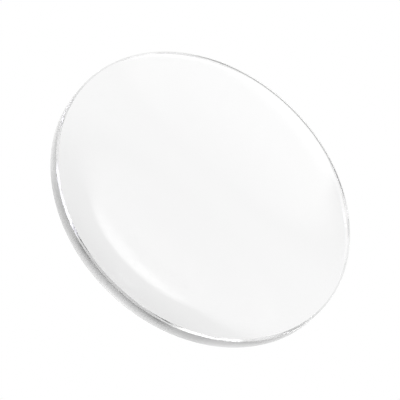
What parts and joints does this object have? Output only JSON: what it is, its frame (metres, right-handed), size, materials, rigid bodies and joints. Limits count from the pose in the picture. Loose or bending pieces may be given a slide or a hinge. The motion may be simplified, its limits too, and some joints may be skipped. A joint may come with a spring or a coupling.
{
  "type": "watch crystal",
  "caption": "Round single-domed watch crystal in clear sapphire, with a shallow outer dome, a straight ground edge with two chamfers, and a flat underside.",
  "frame": {"origin": "centre of the flat underside, the face that looks at the dial", "axes": "+Z along the optical axis, out of the watch towards the wearer; the disc is alike all round it, so X and Y are free"},
  "size_m": [0.03, 0.03, 0.0027],
  "materials": {
    "glass": "clear synthetic sapphire, with polished faces and a finely ground and polished edge"
  },
  "bodies": {
    "root": {"crystal": "glass"}
  },
  "joints": []
}
